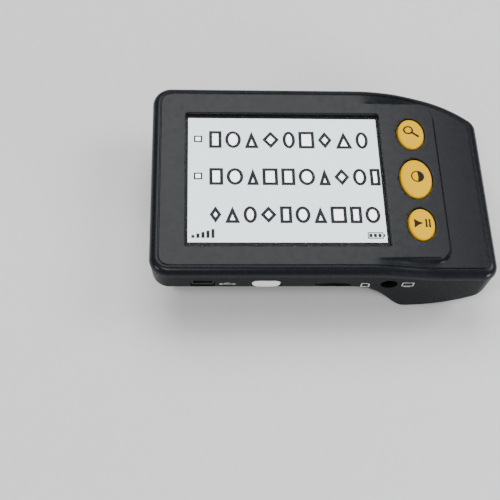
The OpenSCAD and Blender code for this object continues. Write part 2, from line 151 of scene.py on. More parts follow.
def round_box(cx, cy, width, height, radius, step=STEP):
    """Rectangle with round corners, anticlockwise from its right side."""
    a, b = width / 2 - radius, height / 2 - radius
    x, y = width / 2, height / 2
    parts = []
    if b > 1e-6:
        parts.append(side((cx + x, cy - b), (cx + x, cy + b), step))
    parts.append(arc(cx + a, cy + b, radius, 0, 90, step))
    if a > 1e-6:
        parts.append(side((cx + a, cy + y), (cx - a, cy + y), step))
    parts.append(arc(cx - a, cy + b, radius, 90, 180, step))
    if b > 1e-6:
        parts.append(side((cx - x, cy + b), (cx - x, cy - b), step))
    parts.append(arc(cx - a, cy - b, radius, 180, 270, step))
    if a > 1e-6:
        parts.append(side((cx - a, cy - y), (cx + a, cy - y), step))
    parts.append(arc(cx + a, cy - b, radius, 270, 360, step))
    return np.vstack(parts)


def disc(cx, cy, width, step):
    return round_box(cx, cy, width, width, width / 2 - 0.01, step)


def oval(cx, cy, width, depth, count=96):
    angles = 2 * math.pi * np.arange(count) / count
    c, s = np.cos(angles), np.sin(angles)
    normal = np.stack([c / width, s / depth], 1)
    normal /= np.linalg.norm(normal, axis=1)[:, None]
    return np.hstack([np.stack([cx + width / 2 * c, cy + depth / 2 * s], 1), normal])


DOOR_LOW, DOOR_HIGH = box_mm("battery_door")
DOOR_GAP = 0.3
DOOR_WAY = DOOR_HIGH[1] + DOOR_GAP
CHAMFER = 0.15

SHOULDER_Y = BACK - SHOULDER_R
SHOULDER_END_X = RIGHT - SHOULDER_END_R
SHOULDER_ANGLE = math.degrees(math.acos((SHOULDER_END_X - SHOULDER_X) / (SHOULDER_R - SHOULDER_END_R)))
SHOULDER_END_Y = SHOULDER_Y + (SHOULDER_R - SHOULDER_END_R) * math.sin(math.radians(SHOULDER_ANGLE))


def body_plan():
    """The body's outline, anticlockwise from the front left corner."""
    a, b = LEFT + CORNER_R, RIGHT - FRONT_RIGHT_R
    right_y = [FRONT + FRONT_RIGHT_R, -DOOR_WAY - CHAMFER, -DOOR_WAY, DOOR_WAY, DOOR_WAY + CHAMFER,
               SHOULDER_END_Y]
    return np.vstack([
        arc(a, FRONT + CORNER_R, CORNER_R, 180, 270),
        side((a, FRONT), (b, FRONT)),
        arc(b, FRONT + FRONT_RIGHT_R, FRONT_RIGHT_R, 270, 360),
        *(side((RIGHT, low), (RIGHT, high)) for low, high in zip(right_y, right_y[1:])),
        arc(SHOULDER_END_X, SHOULDER_END_Y, SHOULDER_END_R, 0, SHOULDER_ANGLE),
        arc(SHOULDER_X, SHOULDER_Y, SHOULDER_R, SHOULDER_ANGLE, 90),
        side((SHOULDER_X, BACK), (a, BACK)),
        arc(a, BACK - CORNER_R, CORNER_R, 90, 180),
        side((LEFT, BACK - CORNER_R), (LEFT, FRONT + CORNER_R)),
    ])


PLAN = body_plan()


def segment_distance(points, loop):
    """Distance of each point from a closed polyline."""
    best = np.full(len(points), np.inf)
    for p, q in zip(loop, np.roll(loop, -1, 0)):
        d = q - p
        t = np.clip(((points - p) @ d) / max(d @ d, 1e-12), 0, 1)
        best = np.minimum(best, np.linalg.norm(points - p - t[:, None] * d, axis=1))
    return best


def inside(points, loop):
    """Which points lie inside a closed polyline."""
    x, y = points[:, 0], points[:, 1]
    odd = np.zeros(len(points), bool)
    for (x0, y0), (x1, y1) in zip(loop, np.roll(loop, -1, 0)):
        if y0 != y1:
            crosses = (y0 > y) != (y1 > y)
            odd ^= crosses & (x < (x1 - x0) * (y - y0) / (y1 - y0) + x0)
    return odd


# ---------------------------------------------------------------- mesh building

WELD = 1e-7


class Skin:
    """Points and faces of one piece while it is made, in millimetres."""

    def __init__(self):
        self.points = []
        self.faces = []

    def row(self, xyz):
        start = len(self.points)
        self.points.extend(np.asarray(xyz, float).tolist())
        return list(range(start, len(self.points)))

    def face(self, *ids):
        ids = list(dict.fromkeys(ids))
        if len(ids) > 2:
            self.faces.append(ids)

    def band(self, a, b, closed=True):
        """Quads between two rows of equal length."""
        n = len(a)
        for i in range(n if closed else n - 1):
            self.face(a[i], a[(i + 1) % n], b[(i + 1) % n], b[i])

    def bands(self, rows, closed=True):
        for a, b in zip(rows, rows[1:]):
            self.band(a, b, closed)

    def patch(self, border, holes, lift, spacing, guides=()):
        """Triangles between a border and its holes, each (ids, uv). lift turns new uv points into xyz.
        guides are lines of uv points that the triangles follow."""
        loops = [border, *holes]
        ids = [i for loop in loops for i in loop[0]]
        flat = np.vstack([loop[1] for loop in loops])
        edges, start = [], 0
        for loop in loops:
            n = len(loop[1])
            edges += [(start + i, start + (i + 1) % n) for i in range(n)]
            start += n
        known = len(flat)
        for line in guides:
            edges += [(len(flat) + i, len(flat) + i + 1) for i in range(len(line) - 1)]
            flat = np.vstack([flat, line])
        low, high = border[1].min(0), border[1].max(0)
        across = [np.arange(low[k] + spacing / 2, high[k], spacing) for k in (0, 1)]
        grid = np.stack(np.meshgrid(*across), -1).reshape(-1, 2)
        grid[:, 0] += np.where(np.arange(len(grid)) // len(across[0]) % 2, spacing / 2, 0)
        grid = grid[inside(grid, border[1])]
        for hole in holes:
            grid = grid[~inside(grid, hole[1])]
        near = np.full(len(grid), np.inf)
        for some in np.array_split(flat, max(1, len(flat) // 200)):
            gaps = np.linalg.norm(grid[:, None] - some[None], axis=2)
            near = np.minimum(near, gaps.min(1)) if len(grid) else near
        flat = np.vstack([flat, grid[near > 0.62 * spacing]])
        out = delaunay_2d_cdt([Vector(p) for p in flat.tolist()], edges, [], 0, 1e-7)
        uv = np.array([tuple(v) for v in out[0]])
        tris = np.array([f for f in out[2] if len(f) == 3])
        centre = uv[tris].mean(1)
        keep = inside(centre, border[1])
        for hole in holes:
            keep &= ~inside(centre, hole[1])
        tris = tris[keep]
        number = np.full(len(uv), -1)
        for k, sources in enumerate(out[3]):
            if sources and sources[0] < known:
                number[k] = ids[sources[0]]
        fresh = [k for k in np.unique(tris) if number[k] < 0]
        if fresh:
            number[fresh] = self.row(lift(uv[fresh]))
        for t in tris:
            self.face(*(int(number[k]) for k in t))


def loose_object(skin, name, weld=False):
    """The object of a skin: a cutter, or a piece that isn't dressed yet."""
    mesh = bpy.data.meshes.new(name)
    bm = bmesh.new()
    verts = [bm.verts.new(Vector(p) * MM) for p in skin.points]
    for f in skin.faces:
        bm.faces.new([verts[i] for i in f])
    bmesh.ops.delete(bm, geom=[v for v in bm.verts if not v.link_faces], context="VERTS")
    if weld:
        bmesh.ops.remove_doubles(bm, verts=bm.verts, dist=WELD)
    bmesh.ops.recalc_face_normals(bm, faces=bm.faces)
    bm.to_mesh(mesh)
    bm.free()
    made = bpy.data.objects.new(name, mesh)
    bpy.context.scene.collection.objects.link(made)
    return made


def dress(piece, body, material, slot, replaces=(), sharp=38):
    """Shading that breaks at sharp edges, material and body of a finished piece; slot is not used."""
    mesh = piece.data
    mesh.polygons.foreach_set("use_smooth", [True] * len(mesh.polygons))
    mesh.set_sharp_from_angle(angle=math.radians(sharp))
    shade = piece.modifiers.new("weighted_normal", "WEIGHTED_NORMAL")
    shade.keep_sharp = True
    mesh.materials.clear()
    mesh.materials.append(material)
    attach(piece, body)
    if replaces:
        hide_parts(*replaces)
    return piece


def finish_piece(skin, name, *dressing, **more):
    return dress(loose_object(skin, name, weld=True), *dressing, **more)


def change(piece, tool, operation):
    """Joins, cuts or crosses a piece with a tool for good."""
    step = piece.modifiers.new("step", "BOOLEAN")
    step.operation = operation
    step.solver = "EXACT"
    step.object = tool
    bpy.context.view_layer.update()
    done = bpy.data.meshes.new_from_object(piece.evaluated_get(bpy.context.evaluated_depsgraph_get()))
    piece.modifiers.remove(step)
    old, piece.data = piece.data, done
    bpy.data.meshes.remove(old)
    bpy.data.objects.remove(tool)


def cut(piece, skin):
    change(piece, loose_object(skin, "cutter"), "DIFFERENCE")


def join(piece, skin):
    change(piece, loose_object(skin, "addition"), "UNION")


# ---------------------------------------------------------------- surfaces of the body

PANEL_START = -0.5
PANEL_STEP = 1.2


def even(points, step=STEP):
    """A closed polyline with evenly spaced points and their outward normals."""
    loop = np.vstack([points, points[:1]])
    run = np.concatenate([[0], np.cumsum(np.linalg.norm(np.diff(loop, axis=0), axis=1))])
    at = np.linspace(0, run[-1], max(8, int(run[-1] / step)), endpoint=False)
    xy = np.stack([np.interp(at, run, loop[:, k]) for k in (0, 1)], 1)
    along = np.roll(xy, -1, 0) - np.roll(xy, 1, 0)
    along /= np.linalg.norm(along, axis=1)[:, None]
    return np.hstack([xy, np.stack([along[:, 1], -along[:, 0]], 1)])


def around_circles(circles):
    """Outline stretched round circles of x, y, radius."""
    points = np.vstack([grow(arc(x, y, r, 0, 360, 0.3), 0) for x, y, r in circles])
    hull = convex_hull_2d([Vector(p) for p in points.tolist()])
    return even(points[hull])


PANEL = around_circles([(39.5, -29, 4.6), (37.6, 25.9, 6.5), (13, 31.4, 1), (13, -32.6, 1)])


def face_z(points):
    """Height of the face: the button panel is level, the rest falls towards the grip."""
    outline = PANEL[:, :2]
    away = segment_distance(points, outline) * np.where(inside(points, outline), -1, 1)
    level = 1 - ease((away - PANEL_START) / PANEL_STEP)
    return FACE + PANEL_RISE * level - drop(points[:, 0]) * (1 - level)


def wall_inset(x, z):
    """How far the lower casing's side stands in from the outline at a height."""
    foot = floor_z(x) + HEEL_R
    top = PARTING - drop(x)
    straight = DRAFT + (DRAFT_TOP - DRAFT) * (z - foot) / (top - foot)
    sine = np.clip(1 - (z - floor_z(x)) / HEEL_R, 0, 1)
    return np.where(z >= foot, straight, DRAFT + HEEL_R * (1 - np.sqrt(1 - sine**2)))


def under_z(points):
    """Height of the underside, with its rounded heel near the outline."""
    inset = segment_distance(points, PLAN[:, :2])
    cosine = np.clip(1 - (inset - DRAFT) / HEEL_R, 0, 1)
    return floor_z(points[:, 0]) + HEEL_R * (1 - np.sqrt(1 - cosine**2))


def flat_rows(points, z):
    return np.column_stack([points, np.broadcast_to(z, len(points))])


def plan_row(inset, z):
    """A row round the body at an inset, z a function of x."""
    points = grow(PLAN, -inset)
    return points, np.column_stack([points, z(points[:, 0])])


def closed_form(rows, spacing, top_lift=None, bottom_lift=None):
    """Solid between rows round the body; rows run from the top down."""
    skin = Skin()
    ids = [skin.row(xyz) for _, xyz in rows]
    skin.bands(ids)
    for k, lift in ((0, top_lift), (-1, bottom_lift)):
        points = rows[k][0]
        skin.patch((ids[k], points), [], lift, spacing)
    return skin


# ---------------------------------------------------------------- cutters


def mouth(radius):
    """Rows of a rounded mouth: grown by, depth under the surface."""
    rows = [(1.3 * radius, -0.15 * radius)]
    for degrees in (20, 40, 65, 90):
        a = math.radians(degrees)
        rows.append((radius * (1 - math.sin(a)), radius * (1 - math.cos(a))))
    return rows


def plug(rows):
    """Closed solid through rows of equal length."""
    skin = Skin()
    ids = [skin.row(r) for r in rows]
    skin.bands(ids)
    skin.face(*ids[0])
    skin.face(*ids[-1])
    return skin


def z_well(outline, surface, into, radius, far, rows):
    """Cutter along Z from a surface with a rounded mouth. rows are (grown by, height)."""
    made = [flat_rows(grow(outline, 1.3 * radius), far)]
    for out, depth in mouth(radius):
        points = grow(outline, out)
        made.append(flat_rows(points, surface(points) + into * depth))
    made += [flat_rows(grow(outline, out), z) for out, z in rows]
    return plug(made)


def front_well(outline, radius, rows):
    """Cutter into the front wall, its outline in x and z. rows are (grown by, depth from the front)."""

    def placed(points, y):
        return np.column_stack([points[:, 0], np.broadcast_to(y, len(points)), points[:, 1]])

    made = [placed(grow(outline, 1.3 * radius), FRONT - 2)]
    for out, depth in mouth(radius):
        points = grow(outline, out)
        made.append(placed(points, FRONT + wall_inset(points[:, 0], points[:, 1]) + depth))
    made += [placed(grow(outline, out), FRONT + depth) for out, depth in rows]
    return plug(made)


def prism_z(outline, z0, z1):
    return plug([flat_rows(grow(outline, 0), z) for z in (z0, z1)])


def curve_prism(radius, start_x, top_z, half):
    """Prism along Y of everything outside a radius round the rocker's axis, past start_x and under top_z."""
    first = math.asin((start_x - RIDGE_X) / radius)
    last = math.acos((ROCKER_Z - top_z) / radius)
    angles = np.linspace(first, last, 60)
    x = RIDGE_X + radius * np.sin(angles)
    z = ROCKER_Z - radius * np.cos(angles)
    far = [(RIGHT + 6, top_z), (RIGHT + 6, -4), (start_x, -4)]
    section = np.vstack([np.column_stack([x, z]), far])
    return plug([np.column_stack([section[:, 0], np.full(len(section), y), section[:, 1]])
                 for y in (-half, half)])


def bay_form(grown, z0, z1):
    """Block round the battery, in its tilted frame."""
    size = np.array([BATTERY[0] + 2 * grown, BATTERY[1] + 2 * grown])
    outline = round_box(0, 0, *size, 0.6 + grown / 2)
    turn = math.radians(BAY_ANGLE)
    made = []
    for z in (z0, z1):
        points = grow(outline, 0)
        made.append(np.column_stack([
            RIDGE_X + points[:, 0] * math.cos(turn) - z * math.sin(turn),
            points[:, 1],
            ROCKER_Z + points[:, 0] * math.sin(turn) + z * math.cos(turn),
        ]))
    return plug(made)


def ellipsoid(centre, radii, count=48):
    skin = Skin()
    rows = []
    for k in range(1, count // 2):
        a = math.pi * k / (count // 2)
        t = 2 * math.pi * np.arange(count) / count
        rows.append(skin.row(np.column_stack([
            centre[0] + radii[0] * math.sin(a) * np.cos(t),
            centre[1] + radii[1] * math.sin(a) * np.sin(t),
            np.full(count, centre[2] + radii[2] * math.cos(a))])))
    skin.bands(rows)
    for row, z in ((rows[0], radii[2]), (rows[-1], -radii[2])):
        pole = skin.row([[centre[0], centre[1], centre[2] + z]])[0]
        for i in range(count):
            skin.face(row[i], row[(i + 1) % count], pole)
    return skin


# ---------------------------------------------------------------- driving sizes of the parts

BATTERY = (22.0, 40.0)
BAY_ANGLE = 22.0
BAY_GAP = 0.5
BAY_WALL = 1.2
BAY_TOP = -33.0
LEDGE_R = 40.4
LEDGE_T = 1.6
DOOR_WAY_Z = 16.0
DOOR_R = LEDGE_R + 0.15

SCREEN_X = middle_mm("screen_window")[0]
MODULE_Y = middle_mm("lcd_frame")[1]
MODULE = (76.9, 63.9)
WINDOW_LOW, WINDOW_HIGH = box_mm("screen_window")
OPENING_Y = (-28.8, 27.4)
OPENING = (72.0, OPENING_Y[1] - OPENING_Y[0])
OPENING_MID = (SCREEN_X, sum(OPENING_Y) / 2)
CUT_LOW = 18.0
CUTTER_REACH = 3.0
KEYS = ("zoom_button", "contrast_button", "freeze_button")
FLANGE = 0.75
FLANGE_LOW = 26.7
KEY_GAP = 0.45
KEY_SHAPES = {}
for key in KEYS:
    low, high = box_mm(key)
    KEY_SHAPES[key] = (*((low + high) / 2)[:2], *((high - low)[:2] - 2 * FLANGE))
KEY_TOP = box_mm("zoom_button")[1][2]
KEY_POCKET = (34.9, 14.0, 60.0, 27.7)
PORT_Z = mount_named("av_jack")["pos_m"][2] / MM
USB_X = middle_mm("usb_port")[0]
POWER_X = middle_mm("power_button")[0]
CARD_X = middle_mm("card_slot")[0]
JACK_X = mount_named("av_jack")["pos_m"][0] / MM
POD_LOW, POD_HIGH = box_mm("pod_ring")
POD_X = (POD_LOW[0] + POD_HIGH[0]) / 2
POD = (20.0, 26.0, 8.0)
POD_WALL = 1.7
POD_EDGE = 1.2
POD_FILLET = 1.5
POD_WINDOW_Z = 6.0
SCREWS = [(-55.8, -33), (-55.8, 33), (52, -32.5), (46, 30.5)]
SCREW_SEAT = 18.0
SCREW_WELL = 4.2
SCREW_BORE = 2.4
SCREW_THREAD = 1.7
UPPER_POST = 4.0
LOWER_POST = 6.4
BOSS_Z = 21.0
PAD_SEAT = (4.6, 8.2, 2.0)
PAD_SUNK = 0.8
PORT_DEPTH = 6
SCOOP_R = (6.6, 1.6, 2.1)
GRIP_GROOVES = [24 + 2.4 * k for k in range(5)]
PADS = [(RIDGE_X + 1.2, s * 29.5) for s in (-1, 1)]

# ---------------------------------------------------------------- front cover


# Section of the fine groove round the face: distance in from the outline, and height over the face
GROOVE = [(2.8, -0.005), (2.88, -0.03), (2.92, -0.1), (2.94, -0.25), (2.98, -0.33), (3.1, -0.35),
          (3.22, -0.35), (3.34, -0.33), (3.38, -0.25), (3.40, -0.1), (3.44, -0.03), (3.52, 0)]
FACE_INSET = 3.9
MOUTH_R = 0.3


def front_skin():
    """The upper casing's outside: the face with its raised panel, the groove, the rolled rim and the foot."""
    rows = []

    def at(inset, dz):
        rows.append(plan_row(inset, lambda x: PARTING + RIM_R - drop(x) + dz))

    at(FACE_INSET, 0)
    for inset, dz in reversed(GROOVE):
        at(inset, dz)
    for degrees in range(84, 0, -6):
        a = math.radians(degrees)
        at(RIM_R * (1 - math.cos(a)), RIM_R * (math.sin(a) - 1))
    at(0, DRAFT_TOP - RIM_R)
    at(0.3 * DRAFT_TOP, 0.3 * DRAFT_TOP - RIM_R)
    at(DRAFT_TOP, -RIM_R)
    skin = Skin()
    ids = [skin.row(xyz) for _, xyz in rows]
    skin.bands(ids)
    guides = []
    for share in (0, 0.2, 0.4, 0.6, 0.8, 1):
        line = grow(PANEL, PANEL_START + PANEL_STEP * share)
        guides.append(np.vstack([line, line[:1]]))
    skin.patch((ids[0], rows[0][0]), [], lambda p: flat_rows(p, face_z(p)), 1.9, guides)
    skin.patch((ids[-1], rows[-1][0]), [], lambda p: flat_rows(p, PARTING - drop(p[:, 0])), 3.2)
    return skin


def build_front_cover(material):
    cover = loose_object(front_skin(), "upper_casing")
    ceiling = WINDOW_HIGH[2]
    cavity_rows = [plan_row(WALL, lambda x: ceiling - drop(x)), plan_row(WALL, lambda x: 0 * x + CUT_LOW)]
    cavity = closed_form(cavity_rows, 3.1, lambda p: flat_rows(p, ceiling - drop(p[:, 0])),
                         lambda p: flat_rows(p, CUT_LOW))
    cut(cover, cavity)
    key_x, width, length, top = KEY_POCKET
    cut(cover, prism_z(round_box(key_x, 0, width, length, 4), CUT_LOW, top))
    pocket = round_box(SCREEN_X, MODULE_Y, MODULE[0] + 1.8, MODULE[1] + 1.8, 0.8)
    cut(cover, prism_z(pocket, CUT_LOW, ceiling))

    def flat(points):
        return np.full(len(points), FACE + PANEL_RISE / 2)

    far = FACE + CUTTER_REACH
    opening = round_box(*OPENING_MID, *OPENING, 0.7, 2)
    cut(cover, z_well(opening, flat, -1, MOUTH_R, far, [(-MOUTH_R, 26)]))
    for x, y, w, d in KEY_SHAPES.values():
        hole = oval(x, y, w + 2 * KEY_GAP, d + 2 * KEY_GAP)
        cut(cover, z_well(hole, flat, -1, MOUTH_R, far, [(0, 25)]))
    # Posts that the case screws bite into
    for x, y in SCREWS:
        post = disc(x, y, UPPER_POST, 0.5)
        join(cover, prism_z(post, BOSS_Z, ceiling - drop(np.array(x)) + 0.4))
        bore = prism_z(disc(x, y, SCREW_THREAD, 0.4), BOSS_Z - 1, BOSS_Z + 3.8)
        cut(cover, bore)
    return dress(cover, "housing", material, "face_plastic", ["front_cover"], sharp=32)


# ---------------------------------------------------------------- rear cover and battery door


def body_form():
    """The lower casing's outside as a closed solid."""
    rows = [plan_row(DRAFT_TOP, lambda x: PARTING - LIP_GAP - drop(x))]
    foot = plan_row(DRAFT, lambda x: floor_z(x) + HEEL_R)
    for share in (0.25, 0.5, 0.75):
        mixed = rows[0][1] + (foot[1] - rows[0][1]) * share
        rows.append((mixed[:, :2], mixed))
    for degrees in np.arange(0, 90.1, 11.25):
        a = math.radians(degrees)
        rows.append(plan_row(DRAFT + HEEL_R * (1 - math.cos(a)),
                             lambda x: floor_z(x) + HEEL_R * (1 - math.sin(a))))
    return closed_form(rows, 1.7, lambda p: flat_rows(p, PARTING - LIP_GAP - drop(p[:, 0])),
                       lambda p: flat_rows(p, floor_z(p[:, 0])))


def pod_form():
    """The camera pod's outside, with a fillet into the thin half's underside."""
    pod = round_box(POD_X, 0, *POD)
    rows = [flat_rows(grow(pod, POD_FILLET), THIN + 1.2)]
    for degrees in (12, 35, 60, 90):
        a = math.radians(degrees)
        out, z = POD_FILLET * (1 - math.sin(a)), THIN - POD_FILLET * (1 - math.cos(a))
        rows.append(flat_rows(grow(pod, out), z))
    for degrees in (0, 22.5, 45, 67.5, 90):
        a = math.radians(degrees)
        out, z = -POD_EDGE * (1 - math.cos(a)), PAD_T + POD_EDGE * (1 - math.sin(a))
        rows.append(flat_rows(grow(pod, out), z))
    return plug(rows)


def lower_space():
    """The lower casing's inside, where screw posts, the door's ledge and the battery's walls stay standing."""

    def inner_floor(points):
        return flat_rows(points, floor_z(points[:, 0]) + WALL)

    inner, top = DRAFT + WALL, PARTING + 1
    rows = [plan_row(DRAFT_TOP + WALL, lambda x: 0 * x + top)]
    for inset, lift in ((inner, HEEL_R), (inner + 0.4, HEEL_R / 3), (inner + HEEL_R / 2, 0)):
        rows.append(plan_row(inset, lambda x: floor_z(x) + WALL + lift))
    cavity = loose_object(closed_form(rows, 3.3, lambda p: flat_rows(p, top), inner_floor), "cavity")
    for x, y in SCREWS:
        cut(cavity, prism_z(disc(x, y, LOWER_POST, 0.6), -1, BOSS_Z))
    cut(cavity, curve_prism(LEDGE_R - LEDGE_T, DOOR_LOW[0] - 2, 14.5, DOOR_HIGH[1] + 3))
    cut(cavity, bay_form(BAY_GAP + BAY_WALL, -ROCKER_R - 2, BAY_TOP))
    return cavity


def cut_underside(cover):
    """The door's recess, the battery's bay, the pod's inside, the screw wells and the pads' seats."""
    half = DOOR_HIGH[1]
    cut(cover, curve_prism(LEDGE_R, DOOR_LOW[0] - DOOR_GAP, DOOR_WAY_Z, half + DOOR_GAP))
    cut(cover, bay_form(BAY_GAP, -ROCKER_R - 3, BAY_TOP + 5))

    inner = [size - 2 * POD_WALL for size in POD[:2]]
    cut(cover, prism_z(round_box(POD_X, 0, *inner, 6.3), POD_WINDOW_Z, THIN + 4))
    sight = round_box(POD_X, 0, *(size - 2 for size in inner), 5.3)

    def pod_foot(points):
        return np.full(len(points), PAD_T)

    under = -2
    cut(cover, z_well(sight, pod_foot, 1, 0.5, under, [(0, POD_WINDOW_Z + 1)]))
    for x, y in SCREWS:
        well = z_well(disc(x, y, SCREW_WELL, 0.4), under_z, 1, MOUTH_R, under, [(0, SCREW_SEAT)])
        cut(cover, well)
        cut(cover, prism_z(disc(x, y, SCREW_BORE, 0.3), 0, BOSS_Z + 1))
    for x, y in PADS:
        seat = round_box(x, y, *PAD_SEAT)
        cut(cover, z_well(seat, under_z, 1, 0.15, under, [(0, PAD_T + PAD_SUNK)]))


def cut_front(cover):
    """The finger scoop and the ports in the front wall."""
    cut(cover, ellipsoid((CARD_X + 0.4, FRONT + 0.5, THIN + 2.8), SCOOP_R))
    # Outline of each port, and the radius of its rounded mouth
    ports = [
        (round_box(USB_X, PORT_Z + 0.4, 8.3, 4.5, 0.8, 0.5), 0.3),
        (round_box(POWER_X, PORT_Z - 0.1, 10.6, 5.3, 2.6, 0.5), 0.35),
        (round_box(CARD_X, PORT_Z - 0.6, 12.2, 1.6, 0.4, 0.4), 0.12),
        (disc(JACK_X, PORT_Z, 5.9, 0.4), 0.15),
    ]
    for outline, radius in ports:
        cut(cover, front_well(outline, radius, [(0, PORT_DEPTH)]))


def build_rear_cover(material):
    cover = loose_object(body_form(), "lower_casing")
    join(cover, pod_form())
    change(cover, lower_space(), "DIFFERENCE")
    cut_underside(cover)
    cut_front(cover)
    return dress(cover, "housing", material, "shell_plastic", ["rear_cover"], sharp=32)


def build_door(material):
    door = loose_object(body_form(), "battery_lid")
    zone = loose_object(curve_prism(DOOR_R, DOOR_LOW[0], DOOR_HIGH[2], DOOR_HIGH[1]), "zone")
    change(door, zone, "INTERSECT")
    # Finger grooves across the lid
    for degrees in GRIP_GROOVES:
        a = math.radians(degrees)
        x, z = RIDGE_X + ROCKER_R * math.sin(a), ROCKER_Z - ROCKER_R * math.cos(a)
        strip = round_box(0, 0, 1.0, 16, 0.49, 0.3)
        rows = []
        for lift, out in ((-0.9, 0.5), (-0.1, 0.2), (0.15, 0.08), (0.45, -0.3)):
            p = grow(strip, out)
            rows.append(np.column_stack([x + p[:, 0] * math.cos(a) - lift * math.sin(a), p[:, 1],
                                         z + p[:, 0] * math.sin(a) + lift * math.cos(a)]))
        cut(door, plug(rows))
    return dress(door, "battery_door", material, "shell_plastic", ["battery_door"], sharp=32)


# ---------------------------------------------------------------- small pieces


def slab(outline, z0, z1, bevel, steps=4):
    """Flat piece with rounded edges along Z."""
    rows = []
    for k in range(steps + 1):
        a = math.pi / 2 * k / steps
        rows.append((-bevel * (1 - math.sin(a)), z0 + bevel * (1 - math.cos(a))))
    for k in range(steps + 1):
        a = math.pi / 2 * k / steps
        rows.append((-bevel * (1 - math.cos(a)), z1 - bevel * (1 - math.sin(a))))
    return plug([flat_rows(grow(outline, out), z) for out, z in rows])


def inlay(border, holes, lift, up, down, spacing=0.7):
    """Thin printed shape: its top follows lift raised by up, its underside lowered by down."""
    skin = Skin()
    loops = [border, *holes]
    tops = [skin.row(lift(p, up)) for p in loops]
    feet = [skin.row(lift(p, -down)) for p in loops]
    for top, foot in zip(tops, feet):
        skin.band(top, foot)
    skin.patch((tops[0], border), list(zip(tops[1:], holes)), lambda p: lift(p, up), spacing)
    skin.patch((feet[0], border), list(zip(feet[1:], holes)), lambda p: lift(p, -down), spacing)
    return skin


def merged(skins):
    whole = Skin()
    for s in skins:
        start = len(whole.points)
        whole.points += s.points
        whole.faces += [[i + start for i in f] for f in s.faces]
    return whole


CROWN_R = 34.0
KEY_EDGE = 0.7


def crown_z(points, x, y):
    rho2 = (points[:, 0] - x) ** 2 + (points[:, 1] - y) ** 2
    return KEY_TOP - CROWN_R + np.sqrt(CROWN_R**2 - rho2)


def build_key(key, material):
    x, y, w, d = KEY_SHAPES[key]
    low, high = box_mm(key)
    flange_low, flange_top = FLANGE_LOW, FLANGE_LOW + 0.9
    cap = oval(x, y, w, d)
    post = oval(x, y, 3, 3)
    rows = [flat_rows(grow(post, out), z) for out, z in ((-0.2, low[2]), (0, low[2] + 0.2), (0, flange_low))]
    for out, z in ((FLANGE - 0.1, flange_low), (FLANGE, flange_low + 0.1), (FLANGE, flange_top - 0.1),
                   (FLANGE - 0.1, flange_top), (0.08, flange_top), (0, flange_top + 0.1)):
        rows.append(flat_rows(grow(cap, out), z))
    for k in range(7):
        a = math.pi / 2 * k / 6
        points = grow(cap, -KEY_EDGE * (1 - math.cos(a)))
        rows.append(flat_rows(points, crown_z(points, x, y) - KEY_EDGE * (1 - math.sin(a))))
    rim = grow(cap, -KEY_EDGE)
    for share in (0.92, 0.8, 0.65, 0.5, 0.35, 0.2, 0.08):
        points = np.array([x, y]) + (rim - np.array([x, y])) * share
        rows.append(flat_rows(points, crown_z(points, x, y)))
    return finish_piece(plug(rows), key + "_cap", key, material, "key_yellow", [key], sharp=50)


def bar(p, q, half):
    """Outline of a straight bar with square ends."""
    p, q = np.array(p, float), np.array(q, float)
    along = (q - p) / np.linalg.norm(q - p)
    n = np.array([along[1], -along[0]]) * half
    return np.array([p + n, q + n, q - n, p - n])


def circle(x, y, radius, count=48):
    a = 2 * math.pi * np.arange(count) / count
    return np.column_stack([x + radius * np.cos(a), y + radius * np.sin(a)])


def build_symbols(material):
    """Printed signs on the keys: a magnifier, a half-filled circle, play and pause."""
    lens, dot = (-1.0, 1.3), (0.4, 0.35)
    half_disc = circle(*dot, 2.05)
    signs = {
        "zoom_button": [(circle(*lens, 1.9), [circle(*lens, 1.25)]),
                        (bar((0.25, 0.2), (2.75, -1.6), 0.46), [])],
        "contrast_button": [(circle(*dot, 2.4), [circle(*dot, 1.95)]),
                            (np.vstack([half_disc[36:], half_disc[:13]]), [])],
        "freeze_button": [(np.array([(-2.9, -1.75), (0.3, 0.05), (-2.9, 1.85)]), []),
                          *((bar((at, -1.6), (at, 1.7), 0.36), []) for at in (1.45, 2.65))],
    }
    for key, shapes in signs.items():
        x, y, _, _ = KEY_SHAPES[key]
        offset = np.array([x, y])

        def lift(p, up):
            return flat_rows(p, crown_z(p, x, y) + up)

        skins = [inlay(b + offset, [h + offset for h in hs], lift, 0.03, 0.1) for b, hs in shapes]
        finish_piece(merged(skins), key + "_sign", key, material, "key_yellow", sharp=40)


def build_power_button(material):
    low, high = box_mm("power_button")
    z = PORT_Z - 0.1
    middle = np.array([POWER_X, z])
    face, edge = low[1], 0.5
    cap = round_box(POWER_X, z, 10.1, 4.8, 2.39, 0.5)

    def placed(points, y):
        return np.column_stack([points[:, 0], np.broadcast_to(y, len(points)), points[:, 1]])

    def crown(points):
        across, up = (points - middle).T
        return face + 0.00625 * across**2 + 0.03 * up**2

    # From the back: a stem that meets the switch, a flange behind the wall, then the cap
    flange = middle + (grow(cap, 0) - middle) * (1.17, 0.75)
    stem = circle(POWER_X, z, 0.9, len(cap))
    back, shoulder = high[1], high[1] - 1.4
    rows = [placed(middle + (stem - middle) * 0.8, back), placed(stem, back - 0.2), placed(stem, shoulder),
            placed(flange, shoulder), placed(flange, shoulder - 0.6), placed(grow(cap, 0), shoulder - 0.6)]
    for k in range(6):
        a = math.pi / 2 * k / 5
        points = grow(cap, -edge * (1 - math.cos(a)))
        rows.append(placed(points, crown(points) + edge * (1 - math.sin(a))))
    for share in (0.85, 0.65, 0.45, 0.25, 0.1):
        points = middle + (grow(cap, -edge) - middle) * share
        rows.append(placed(points, crown(points)))
    return finish_piece(plug(rows), "power_cap", "power_button", material, "button_white",
                        ["power_button"], sharp=50)


# ---------------------------------------------------------------- display and printed signs

PICTURE = (70.08, 52.56)
PICTURE_MID = (SCREEN_X, -0.15)
PICTURE_Z = WINDOW_LOW[2] + 0.04
MARK_Z = PICTURE_Z + 0.02
BORDER_Z = MARK_Z + 0.04
WINDOW_Z = BORDER_Z + 0.05


def sheet_row(z):
    return lambda p, up: flat_rows(p, z + up)


